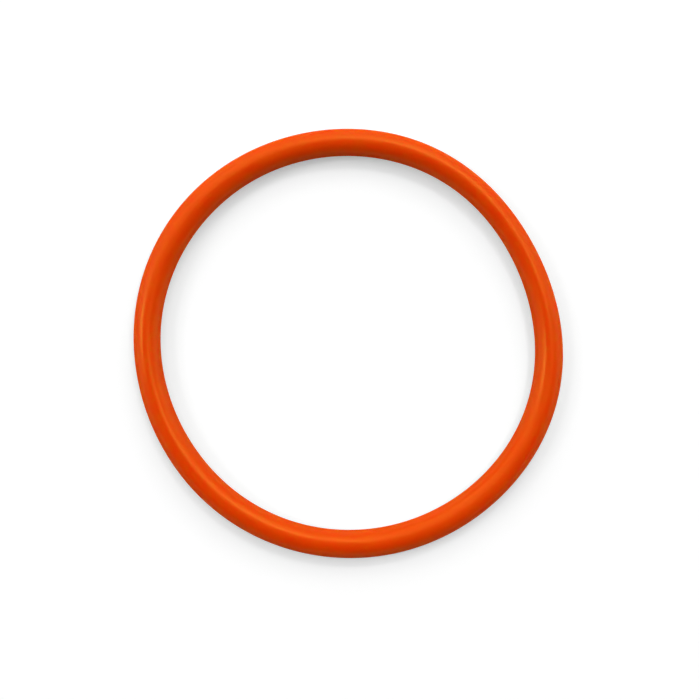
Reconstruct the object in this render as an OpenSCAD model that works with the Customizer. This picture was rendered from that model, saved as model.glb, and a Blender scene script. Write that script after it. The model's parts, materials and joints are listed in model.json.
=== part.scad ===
// A moulded silicone o-ring that lies flat, in millimetres with +Z up.
// The origin is the centre of the ring, on the plane where the two halves of its mould met.

/* [Ring] */
// Diameter of the hole, between the round faces of the section
bore_d = 42; // [12:0.5:150]
// Thickness of the round section
section_d = 3; // [1.5:0.1:6]

/* [Parting line] */
// Height that the trimmed parting line stands above the round section
line_h = 0.03; // [0.01:0.01:0.1]
// Width of the flat crown of the parting line
line_w = 0.2; // [0.1:0.05:0.4]
// Slope of the parting line's two flanks, from the plane of the ring
flank_angle = 45; // [30:5:70]

/* [Hidden] */
// Radius of the round section
section_r = section_d / 2;
// Radius of the circle that the middle of the section follows
path_r = bore_d / 2 + section_r;
// Distance from the middle of the section to the crown of the parting line
crown_x = section_r + line_h;
// Depth from the crown to the foot of a flank, which lies inside the round section
foot_depth = 3 * line_h;
// Facets round the section and round the ring
section_facets = 64;
ring_facets = 180;

// A strip right across the section, whose two ends are the crowns and flanks of the parting line
module parting_line() {
    crown_y = line_w / 2;
    foot_x = crown_x - foot_depth;
    foot_y = crown_y + foot_depth * tan(flank_angle);
    outer_end = [[foot_x, -foot_y], [crown_x, -crown_y], [crown_x, crown_y], [foot_x, foot_y]];
    inner_end = [for (p = outer_end) [-p.x, -p.y]];
    polygon(concat(outer_end, inner_end));
}

// The section that the mould gives: a circle with a trimmed line on its inner and its outer side
module section() {
    circle(r = section_r, $fn = section_facets);
    parting_line();
}

module o_ring() {
    color("#E24A0B")
        rotate_extrude($fn = ring_facets)
            translate([path_r, 0])
                section();
}

o_ring();
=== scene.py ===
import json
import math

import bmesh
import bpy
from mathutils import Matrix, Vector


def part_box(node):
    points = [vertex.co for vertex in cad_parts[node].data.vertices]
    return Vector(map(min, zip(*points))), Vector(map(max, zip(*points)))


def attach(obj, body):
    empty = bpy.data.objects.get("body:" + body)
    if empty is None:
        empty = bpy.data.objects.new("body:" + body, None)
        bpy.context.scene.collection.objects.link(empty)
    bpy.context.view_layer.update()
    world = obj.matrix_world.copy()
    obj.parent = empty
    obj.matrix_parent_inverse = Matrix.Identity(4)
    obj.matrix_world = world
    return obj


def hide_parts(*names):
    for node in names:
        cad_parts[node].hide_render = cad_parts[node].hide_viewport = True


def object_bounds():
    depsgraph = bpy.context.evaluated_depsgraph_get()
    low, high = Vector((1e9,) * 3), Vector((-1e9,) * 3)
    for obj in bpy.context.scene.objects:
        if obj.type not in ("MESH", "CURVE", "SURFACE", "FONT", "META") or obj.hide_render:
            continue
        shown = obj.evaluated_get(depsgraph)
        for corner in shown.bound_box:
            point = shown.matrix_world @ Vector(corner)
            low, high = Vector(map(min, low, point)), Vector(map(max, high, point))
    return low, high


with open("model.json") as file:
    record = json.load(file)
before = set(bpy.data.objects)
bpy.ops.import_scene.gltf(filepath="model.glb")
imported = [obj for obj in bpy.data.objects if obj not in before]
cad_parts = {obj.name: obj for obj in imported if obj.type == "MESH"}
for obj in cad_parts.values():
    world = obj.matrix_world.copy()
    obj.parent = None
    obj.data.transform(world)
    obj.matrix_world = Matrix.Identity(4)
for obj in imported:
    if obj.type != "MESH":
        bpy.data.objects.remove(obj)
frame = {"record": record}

# %% [markdown]
# # A silicone o-ring, from fixed frame to finished look
# The real object is one piece: silicone rubber, pressed in a two-part steel mould and trimmed.
# The solid model already says how large it is and where it lies. This script adds what the eye
# sees and a solid model leaves out: how a soft ring relaxes when nothing holds it round, the
# satin gloss that the mould leaves, and rubber that light sinks into.
# Every length is in metres, the origin is the ring's centre and +Z is up.

MM = 0.001
cad_low, cad_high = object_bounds()
print("frame box in mm:", [round(side / MM, 3) for side in cad_high - cad_low])

# %% [markdown]
# ## Reading the section from the frame
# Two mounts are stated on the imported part: the narrowest place inside the ring and the widest
# place outside it. Both are measured on the parting line, the thin trimmed rib where the mould's
# halves met. Half their sum is the radius that the section follows, half their difference is how
# far the rib reaches from the middle of the section, and the height of the box is the section's
# own thickness. So nothing is measured twice, and the ring follows if the frame changes.

# %% Radii of the path, the section and the rib's crown
mount_radius = {m["name"]: m["dims"]["r_mm"] * MM for m in frame["record"]["mounts"]}
path_radius = (mount_radius["groove_seat"] + mount_radius["housing_seat"]) / 2
crown_reach = (mount_radius["housing_seat"] - mount_radius["groove_seat"]) / 2
low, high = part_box("o_ring")
section_radius = (high.z - low.z) / 2
print("path radius", round(path_radius / MM, 3), "section radius", round(section_radius / MM, 3))

# %% [markdown]
# ## The section
# On the real ring the section is a circle with a rib three hundredths of a millimetre high on
# its inner and its outer side. It could be drawn point by point, but a circle of vertices
# already gives the round part. Four level planes then cut it, which puts vertices exactly where
# each rib starts and ends, and the ones on the crown are moved out to one plain distance. That
# keeps the rib sharp however many vertices the circle has.
# The rib's flanks slope at 45 degrees, so its foot is where such a line meets the circle.

# %% Sizes of the section and its rib
SECTION_VERTICES = 72
RIB_HALF_WIDTH = 0.1 * MM
SMALL = 1e-7
flank_line = crown_reach + RIB_HALF_WIDTH
rib_foot = (flank_line - math.sqrt(2 * section_radius**2 - flank_line**2)) / 2
print("the rib's foot is", round(rib_foot / MM, 4), "mm from the parting plane")

# %% A circle of edges, cut where the rib starts and ends


def make_section():
    """A bmesh that holds one closed loop of edges: the section, in the XZ plane."""
    bm = bmesh.new()
    bmesh.ops.create_circle(bm, segments=SECTION_VERTICES, radius=section_radius)
    bmesh.ops.rotate(bm, verts=bm.verts, cent=(0, 0, 0), matrix=Matrix.Rotation(math.pi / 2, 3, "X"))
    for height in (-rib_foot, -RIB_HALF_WIDTH, RIB_HALF_WIDTH, rib_foot):
        everything = bm.verts[:] + bm.edges[:]
        bmesh.ops.bisect_plane(bm, geom=everything, plane_co=(0, 0, height), plane_no=(0, 0, 1))
    between = [v for v in bm.verts if SMALL < abs(v.co.z) < rib_foot - SMALL]
    spare = [v for v in between if abs(abs(v.co.z) - RIB_HALF_WIDTH) > SMALL]
    bmesh.ops.dissolve_verts(bm, verts=spare)
    for vertex in bm.verts:
        if abs(vertex.co.z) < RIB_HALF_WIDTH + SMALL:
            vertex.co.x = math.copysign(crown_reach, vertex.co.x)
    return bm


section = make_section()
print("vertices round the section:", len(section.verts))

# %% [markdown]
# ## The ring
# A mould's cavity is turned on a lathe, and spinning the section once about +Z is the same
# thing. A ready-made torus would be quicker, but it has no rib. The last turn of the spin is
# merged with the first, so the ring has no seam, and the normals are recalculated after that,
# because a spin can leave the skin inside out.

# %% Spin the section into a ring
RING_STEPS = 480


def spin_ring(bm):
    """Turns the section about the Z axis into a closed skin."""
    bmesh.ops.translate(bm, verts=bm.verts, vec=(path_radius, 0, 0))
    bmesh.ops.spin(
        bm,
        geom=bm.verts[:] + bm.edges[:],
        axis=(0, 0, 1),
        cent=(0, 0, 0),
        angle=2 * math.pi,
        steps=RING_STEPS,
        use_merge=True,
    )
    bmesh.ops.remove_doubles(bm, verts=bm.verts, dist=SMALL)
    bmesh.ops.recalc_face_normals(bm, faces=bm.faces)


spin_ring(section)
print("faces on the ring:", len(section.faces))

# %% [markdown]
# ## Rubber that lies as it likes
# A soft ring off its shaft is never quite round. A ring bends most easily into two lobes, then
# three, then four, so its outline is a circle with a little of each. A simulation could bend it
# too, but a few waves have a known reach and give the same ring every time. Each line below
# says how many lobes lie round the ring, how far they reach, and the angle in degrees at which
# the first one points.

# %% Lobes of the relaxed ring
LOBES = (
    (2, 0.21 * MM, -47),
    (3, 0.05 * MM, -30),
    (4, 0.09 * MM, -22),
    (5, 0.03 * MM, -12),
    (6, 0.02 * MM, -6),
)


def sum_waves(waves, angle):
    """The sum of some waves round the ring, at this angle."""
    return sum(
        reach * math.cos(count * (angle - math.radians(first))) for count, reach, first in waves
    )


reaches = [sum_waves(LOBES, math.radians(a)) / MM for a in range(360)]
print("lobes reach from", round(min(reaches), 3), "to", round(max(reaches), 3), "mm")

# %% [markdown]
# ## Rubber that is thicker here than there
# Rubber shrinks unevenly as it cools, so a real ring is a little wider at some angles than at
# others. A modifier could thicken it by painted weights, but waves fit a ring better. The swells
# say how much wider it is, in the same three numbers. They widen the section only in the plane
# of the ring, half on each side, which leaves its height as the frame has it.

# %% Swells, and the ring moved by both
SWELLS = (
    (1, 0.08 * MM, -110),
    (2, 0.10 * MM, -50),
    (3, 0.04 * MM, -8),
    (4, 0.03 * MM, -20),
    (5, 0.04 * MM, 0),
)


def relax(bm):
    """Moves each section along its own radius by the lobes, and widens it by the swells."""
    for vertex in bm.verts:
        angle = math.atan2(vertex.co.y, vertex.co.x)
        outwards = Vector((math.cos(angle), math.sin(angle), 0))
        share = (math.hypot(vertex.co.x, vertex.co.y) - path_radius) / crown_reach
        move = sum_waves(LOBES, angle) + share * sum_waves(SWELLS, angle) / 2
        vertex.co += outwards * move


relax(section)
widths = [2 * crown_reach / MM + sum_waves(SWELLS, math.radians(a)) / MM for a in range(360)]
print("the ring is from", round(min(widths), 3), "to", round(max(widths), 3), "mm wide")

# %% [markdown]
# ## Inside the frame's box
# The relaxed ring has to stay inside the box that the frame gives. Scaling it would thin the
# section, so the whole outline is drawn in instead, by just as much as its widest side has
# passed the box, and by nothing if it fits.

# %% Fit the outline into the box


def fit_to_box(bm):
    """Moves every section inwards by the distance that the ring stands outside the box."""
    outside = 0.0
    for axis in (0, 1):
        furthest = max(v.co[axis] for v in bm.verts) - cad_high[axis]
        nearest = cad_low[axis] - min(v.co[axis] for v in bm.verts)
        outside = max(outside, furthest, nearest)
    for vertex in bm.verts:
        vertex.co -= Vector((vertex.co.x, vertex.co.y, 0)).normalized() * outside
    return outside


print("drawn in by", round(fit_to_box(section) / MM, 4), "mm")

# %% [markdown]
# ## From bmesh to object
# A bmesh is only a workshop: its shape has to be written into a mesh, and the mesh hung on an
# object, before anything can be rendered. The object stays at the origin, unturned and unscaled,
# so a pattern on Object coordinates stays where it belongs. Every face is shaded smooth, because
# trimmed rubber has no crisp edge anywhere, not even on the rib.

# %% Write the ring into an object


def finish_mesh(name, bm):
    """Turns a bmesh into an object at the origin, with smooth faces."""
    mesh = bpy.data.meshes.new(name)
    for face in bm.faces:
        face.smooth = True
    bm.to_mesh(mesh)
    bm.free()
    piece = bpy.data.objects.new(name, mesh)
    bpy.context.scene.collection.objects.link(piece)
    return piece


ring = finish_mesh("silicone_ring", section)
print("ring mesh:", len(ring.data.polygons), "faces")

# %% [markdown]
# ## Building materials in code
# A material is a tree of nodes. Two helpers keep the trees below short: one adds a node with
# its settings, and one starts a material that has nothing in it but its output.

# %% Helpers for node trees


def add_node(tree, kind, place, **settings):
    """Adds one node at a place in the tree, with its plain settings."""
    node = tree.nodes.new(kind)
    node.location = place
    for key, value in settings.items():
        setattr(node, key, value)
    return node


def new_material(name):
    """A material that is empty but for its output, and its tree and that output."""
    material = bpy.data.materials.new(name)
    material.use_nodes = True
    tree = material.node_tree
    tree.nodes.clear()
    output = add_node(tree, "ShaderNodeOutputMaterial", (900, 0))
    return material, tree, output


def add_noise(tree, vector, place, per_metre, detail):
    """A noise pattern that repeats about this many times in a metre."""
    noise = add_node(tree, "ShaderNodeTexNoise", place)
    noise.inputs["Scale"].default_value = per_metre
    noise.inputs["Detail"].default_value = detail
    tree.links.new(vector, noise.inputs["Vector"])
    return noise.outputs["Fac"]


print("node helpers are ready")

# %% [markdown]
# ## The pigment
# Silicone is coloured by a paste that is rolled into the clear rubber, and rolling never
# spreads it quite evenly. One flat orange would look like plastic. Here a slow noise mixes two
# near oranges, with clouds about as large as the ring is thick.
# Light that bounces off the ring would also tint the white table, and here the table is to
# stay neutral, as in a catalogue. So diffuse rays meet a plain grey instead of the orange.

# %% Clouded orange, and grey for stray light
DEEP_ORANGE = (0.85, 0.066, 0.0003, 1)
WARM_ORANGE = (0.91, 0.076, 0.0005, 1)
STRAY_GREY = (0.25, 0.25, 0.25, 1)
CLOUDS_PER_METRE = 350
CLOUD_DETAIL = 3


def pigment_colour(tree, clouds):
    """The rubber's colour, as an output for Base Color."""
    pigment = add_node(tree, "ShaderNodeMix", (-300, 300), data_type="RGBA")
    pigment.inputs["A"].default_value = DEEP_ORANGE
    pigment.inputs["B"].default_value = WARM_ORANGE
    tree.links.new(clouds, pigment.inputs["Factor"])
    rays = add_node(tree, "ShaderNodeLightPath", (-300, 600))
    stray = add_node(tree, "ShaderNodeMix", (0, 300), data_type="RGBA")
    stray.inputs["B"].default_value = STRAY_GREY
    tree.links.new(rays.outputs["Is Diffuse Ray"], stray.inputs["Factor"])
    tree.links.new(pigment.outputs["Result"], stray.inputs["A"])
    return stray.outputs["Result"]


print("clouds in the pigment are about", round(1 / CLOUDS_PER_METRE / MM, 1), "mm apart")

# %% [markdown]
# ## The gloss
# A polished mould leaves silicone satin: a highlight keeps its shape but not its edge. The
# roughness follows the clouds a little, so the highlight isn't the same all along. Seen at a
# slant, real rubber looks duller, because the grains of its skin stand in front of one another.
# Layer Weight says how slanted the surface is, and the roughness rises with it.

# %% Satin that dulls at a slant
ROUGHNESS_LEAST = 0.28
ROUGHNESS_MOST = 0.31
DULL_FROM = 0.15
DULL_TO = 0.5
DULL_BY = 0.6


def satin_roughness(tree, clouds):
    """The rubber's roughness, as an output for Roughness."""
    satin = add_node(tree, "ShaderNodeMapRange", (-300, 0))
    satin.inputs["To Min"].default_value = ROUGHNESS_LEAST
    satin.inputs["To Max"].default_value = ROUGHNESS_MOST
    tree.links.new(clouds, satin.inputs["Value"])
    slant = add_node(tree, "ShaderNodeLayerWeight", (-600, -100))
    dulling = add_node(tree, "ShaderNodeMapRange", (-100, -100))
    dulling.inputs["From Min"].default_value = DULL_FROM
    dulling.inputs["From Max"].default_value = DULL_TO
    dulling.inputs["To Max"].default_value = DULL_BY
    tree.links.new(slant.outputs["Facing"], dulling.inputs["Value"])
    together = add_node(tree, "ShaderNodeMath", (100, 0), operation="ADD")
    tree.links.new(satin.outputs["Result"], together.inputs[0])
    tree.links.new(dulling.outputs["Result"], together.inputs[1])
    return together.outputs[0]


print("roughness face on:", ROUGHNESS_LEAST, "to", ROUGHNESS_MOST)

# %% [markdown]
# ## The pebble
# Steel is never perfectly smooth, and rubber copies every grain of it. The grain is a quarter
# of a millimetre wide and far too shallow to be worth any faces, so a bump is the right tool.

# %% The mould's grain as a bump
PEBBLES_PER_METRE = 4000
PEBBLE_DETAIL = 2
PEBBLE_HEIGHT = 0.02 * MM
PEBBLE_STRENGTH = 0.15


def pebble_normal(tree, vector):
    """The mould's grain, as an output for Normal."""
    pebble = add_noise(tree, vector, (-600, -300), PEBBLES_PER_METRE, PEBBLE_DETAIL)
    relief = add_node(tree, "ShaderNodeBump", (300, -300))
    relief.inputs["Strength"].default_value = PEBBLE_STRENGTH
    relief.inputs["Distance"].default_value = PEBBLE_HEIGHT
    tree.links.new(pebble, relief.inputs["Height"])
    return relief.outputs["Normal"]


print("pebbles are about", round(1 / PEBBLES_PER_METRE / MM, 2), "mm apart")

# %% [markdown]
# ## The silicone
# Light enters this rubber and leaves a little way off, redder than it went in. A plain painted
# surface can't do that, so the shader scatters light under the skin: nearly a millimetre for
# red, and a twentieth of that for green and blue. The gloss on top is tinted like the rubber,
# because a highlight on it looks that way: some of its light has scattered just under the skin.

# %% Put the rubber together and dress the ring
SILICONE_IOR = 1.41
GLOSS_LEVEL = 0.6
GLOSS_TINT = (1.0, 0.88, 0.12, 1)
SCATTER_REACH = 0.9 * MM
SCATTER_BY_COLOUR = (1.0, 0.05, 0.05)


def silicone():
    """Satin pigmented silicone rubber."""
    material, tree, output = new_material("orange_silicone")
    shader = add_node(tree, "ShaderNodeBsdfPrincipled", (600, 0))
    shader.inputs["IOR"].default_value = SILICONE_IOR
    shader.inputs["Specular IOR Level"].default_value = GLOSS_LEVEL
    shader.inputs["Specular Tint"].default_value = GLOSS_TINT
    shader.inputs["Subsurface Weight"].default_value = 1.0
    shader.inputs["Subsurface Radius"].default_value = SCATTER_BY_COLOUR
    shader.inputs["Subsurface Scale"].default_value = SCATTER_REACH
    place = add_node(tree, "ShaderNodeTexCoord", (-900, 0)).outputs["Object"]
    clouds = add_noise(tree, place, (-600, 300), CLOUDS_PER_METRE, CLOUD_DETAIL)
    tree.links.new(pigment_colour(tree, clouds), shader.inputs["Base Color"])
    tree.links.new(satin_roughness(tree, clouds), shader.inputs["Roughness"])
    tree.links.new(pebble_normal(tree, place), shader.inputs["Normal"])
    tree.links.new(shader.outputs["BSDF"], output.inputs["Surface"])
    return material


ring.data.materials.append(silicone())
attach(ring, "root")
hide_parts("o_ring")
print("the ring is dressed in", ring.data.materials[0].name)

# %% [markdown]
# ## The table it lies on
# The floor is plain and matt white. More light would turn it white too, but it would burn out
# the ring. So the floor has a little glow that only the camera, mirrors and glass see: it adds
# no light to the ring, and the ring's shadow stays. Far from the ring the lamps hardly reach,
# and the glow rises there, so the floor is white to its edge from every side.

# %% Which rays see a glow
FLOOR_HALF = 3.0
FLOOR_WHITE = (0.76, 0.76, 0.76, 1)
FLOOR_GLOW = 0.42
DISTANT_GLOW = 1.0
GLOW_RISES_FROM = 0.08
GLOW_RISES_TO = 0.6


def seen_by(tree, names, left):
    """An output that is 1 for rays of these kinds and 0 for all others."""
    rays = add_node(tree, "ShaderNodeLightPath", (left, -100))
    seen = rays.outputs[names[0]]
    for step, name in enumerate(names[1:], 1):
        either = add_node(tree, "ShaderNodeMath", (left + 150 * step, -200), operation="MAXIMUM")
        tree.links.new(seen, either.inputs[0])
        tree.links.new(rays.outputs[name], either.inputs[1])
        seen = either.outputs[0]
    return seen


print("the glow is", FLOOR_GLOW, "at the ring and", DISTANT_GLOW, "far from it")

# %% A pale floor under the ring


def floor_glow(tree):
    """The strength of the glow, for the rays that see it."""
    place = add_node(tree, "ShaderNodeTexCoord", (-700, -400))
    away = add_node(tree, "ShaderNodeVectorMath", (-500, -400), operation="LENGTH")
    tree.links.new(place.outputs["Object"], away.inputs[0])
    rise = add_node(tree, "ShaderNodeMapRange", (-300, -400))
    rise.inputs["From Min"].default_value = GLOW_RISES_FROM
    rise.inputs["From Max"].default_value = GLOW_RISES_TO
    rise.inputs["To Min"].default_value = FLOOR_GLOW
    rise.inputs["To Max"].default_value = DISTANT_GLOW
    tree.links.new(away.outputs["Value"], rise.inputs["Value"])
    amount = add_node(tree, "ShaderNodeMath", (100, -250), operation="MULTIPLY")
    seen = seen_by(tree, ("Is Camera Ray", "Is Glossy Ray", "Is Transmission Ray"), -400)
    tree.links.new(seen, amount.inputs[0])
    tree.links.new(rise.outputs["Result"], amount.inputs[1])
    return amount.outputs[0]


def floor_material():
    """Matt white, with a glow that only the camera, mirrors and glass see."""
    material, tree, output = new_material("white_table")
    paint = add_node(tree, "ShaderNodeBsdfDiffuse", (200, 100))
    paint.inputs["Color"].default_value = FLOOR_WHITE
    glow = add_node(tree, "ShaderNodeEmission", (200, -100))
    tree.links.new(floor_glow(tree), glow.inputs["Strength"])
    both = add_node(tree, "ShaderNodeAddShader", (500, 0))
    tree.links.new(paint.outputs[0], both.inputs[0])
    tree.links.new(glow.outputs[0], both.inputs[1])
    tree.links.new(both.outputs[0], output.inputs["Surface"])
    return material


def make_floor():
    """A large square just under the ring."""
    bm = bmesh.new()
    bmesh.ops.create_grid(bm, x_segments=1, y_segments=1, size=FLOOR_HALF)
    bmesh.ops.translate(bm, verts=bm.verts, vec=(0, 0, cad_low.z))
    floor = finish_mesh("table_top", bm)
    floor.data.materials.append(floor_material())
    return floor


table_top = make_floor()
print("the table is", table_top.dimensions.x, "m wide")

# %% [markdown]
# ## Soft lamps
# The shading says where the light comes from. The far side of the ring is bright and the near
# side dark, so the main light is a wide window beyond the ring, with one more on its right and
# one on its left. Two low panels at the sides lift the flanks. A small bulb and a shade on the
# left each give a short highlight there. One big dome would light the ring too, but it would
# leave no highlights. Each lamp has its direction as an angle from +X and an angle from straight
# overhead, both in degrees, then its width and height in metres and its level.

# %% Lamps aimed at the ring
LAMP_DISTANCE = 1.2
LAMPS = {
    "window_far": (95, 57, 1.5, 0.6, 0.26),
    "window_right": (45, 46, 1.0, 0.7, 0.23),
    "window_left": (145, 46, 1.0, 0.7, 0.20),
    "side_right": (12, 74, 0.9, 0.5, 0.13),
    "side_left": (178, 74, 0.9, 0.5, 0.11),
    "bulb": (175, 49, 0.03, 0.03, 0.055),
    "shade": (178, 38, 0.12, 0.12, 0.075),
}


def soft_lamp(name, azimuth, zenith, width, height, level):
    """An area light that faces the ring. Level 1 turns a white surface that faces it white."""
    turn, tilt = math.radians(azimuth), math.radians(zenith)
    towards = Vector((math.sin(tilt) * math.cos(turn), math.sin(tilt) * math.sin(turn), math.cos(tilt)))
    data = bpy.data.lights.new(name, "AREA")
    data.shape = "RECTANGLE"
    data.size = width
    data.size_y = height
    data.energy = level * (math.pi * LAMP_DISTANCE) ** 2
    lamp = bpy.data.objects.new(name, data)
    lamp.location = towards * LAMP_DISTANCE
    lamp.rotation_euler = towards.to_track_quat("Z", "Y").to_euler()
    lamp.visible_camera = False
    bpy.context.scene.collection.objects.link(lamp)
    return lamp


for lamp_name, settings in LAMPS.items():
    soft_lamp(lamp_name, *settings)
print("lamps:", ", ".join(LAMPS))

# %% [markdown]
# ## The ring light
# One long thin highlight runs most of the way round the rubber, near the top of its section. No
# window draws such a line. It is what a round tube of light gives when it passes over the
# camera, because each part of the ring mirrors another part of the tube. Small lamps in a circle
# stand for the tube. The tube is a circle on the sky seen from the ring: it runs through the
# point straight overhead, its middle lies towards one side, and it has a gap over the camera.
# Each arc has its first and last angle on the tube, a number of lamps and the arc's level.

# %% Small lamps in a circle
RING_LIGHT_TOWARDS = math.radians(75)
RING_LIGHT_REACH = 0.29
RING_LIGHT_SIDE = 0.08
RING_LIGHT_ARCS = (
    (-60, 0, 3, 0.08),
    (0, 60, 3, 0.07),
    (60, 120, 3, 0.11),
    (120, 180, 3, 0.03),
    (180, 220, 2, 0.035),
)


def ring_light():
    """A round tube of small lamps that passes over the camera, with a gap there."""
    for first, last, count, level in RING_LIGHT_ARCS:
        for step in range(count):
            turn = math.radians(first + (last - first) * (step + 0.5) / count)
            x = RING_LIGHT_REACH * (math.cos(RING_LIGHT_TOWARDS) + math.cos(turn))
            y = RING_LIGHT_REACH * (math.sin(RING_LIGHT_TOWARDS) + math.sin(turn))
            azimuth = math.degrees(math.atan2(y, x))
            zenith = math.degrees(math.asin(math.hypot(x, y)))
            side = RING_LIGHT_SIDE
            soft_lamp("ring_light", azimuth, zenith, side, side, level / count)


ring_light()
print("lamps in the ring light:", sum(count for _, _, count, _ in RING_LIGHT_ARCS))

# %% [markdown]
# ## The room
# The camera sees white wherever it looks past the table, so the background is white from every
# side. The rubber must not mirror all that white, or its highlights would drown. For mirrored
# and diffuse rays the room is white only at the horizon, where the table's far edge and the
# walls would be, and it fades to nothing a few degrees up, where the lamps take over.

# %% White for the camera, dark over the lamps
ROOM_LIGHT = 0.0
WHITE_UP_TO = math.radians(2)
ROOM_FROM = math.radians(8)


def room(level):
    """A world that the camera sees white, and that gives the ring this level from above."""
    world = bpy.data.worlds.new("room")
    world.use_nodes = True
    tree = world.node_tree
    tree.nodes.clear()
    output = add_node(tree, "ShaderNodeOutputWorld", (400, 0))
    light = add_node(tree, "ShaderNodeBackground", (200, 0))
    light.inputs["Color"].default_value = (1, 1, 1, 1)
    place = add_node(tree, "ShaderNodeTexCoord", (-600, 0))
    parts = add_node(tree, "ShaderNodeSeparateXYZ", (-400, 0))
    fade = add_node(tree, "ShaderNodeMapRange", (-200, 0), interpolation_type="SMOOTHSTEP")
    fade.inputs["From Min"].default_value = math.sin(WHITE_UP_TO)
    fade.inputs["From Max"].default_value = math.sin(ROOM_FROM)
    fade.inputs["To Min"].default_value = 1
    fade.inputs["To Max"].default_value = level
    tree.links.new(place.outputs["Generated"], parts.inputs[0])
    tree.links.new(parts.outputs["Z"], fade.inputs["Value"])
    strength = add_node(tree, "ShaderNodeMath", (0, 0), operation="MAXIMUM")
    tree.links.new(fade.outputs["Result"], strength.inputs[0])
    tree.links.new(seen_by(tree, ("Is Camera Ray", "Is Transmission Ray"), -400), strength.inputs[1])
    tree.links.new(strength.outputs[0], light.inputs["Strength"])
    tree.links.new(light.outputs[0], output.inputs["Surface"])
    bpy.context.scene.world = world


room(ROOM_LIGHT)
print("the room gives the ring a level of", ROOM_LIGHT, "from above")

# %% [markdown]
# ## The camera
# It hangs straight above the table, close enough that it looks at the ring's inner and outer
# sides at a slight slant. The picture is square, so the width of the view at the height of the
# ring sets the lens. The ring isn't quite in the middle of the picture, so the camera stands
# aside by as many pixels as that takes.

# %% Hang the camera over the ring
CAMERA_HEIGHT = 119 * MM
VIEW_WIDTH = 78.2 * MM
PICTURE_SIDE = 700
RING_ACROSS = 347.8
RING_DOWN = 343.4
SENSOR_WIDTH = 36
pixel = VIEW_WIDTH / PICTURE_SIDE
camera_x = (PICTURE_SIDE / 2 - RING_ACROSS) * pixel
camera_y = (RING_DOWN - PICTURE_SIDE / 2) * pixel

camera_data = bpy.data.cameras.new("camera")
camera_data.sensor_width = SENSOR_WIDTH
camera_data.lens = SENSOR_WIDTH * CAMERA_HEIGHT / VIEW_WIDTH
camera_data.clip_start = 1 * MM
camera = bpy.data.objects.new("camera", camera_data)
camera.location = (camera_x, camera_y, CAMERA_HEIGHT)
bpy.context.scene.collection.objects.link(camera)
bpy.context.scene.camera = camera
bpy.context.scene.view_settings.view_transform = "Standard"
print("lens", round(camera_data.lens, 1), "mm, one pixel is", round(pixel / MM, 3), "mm")
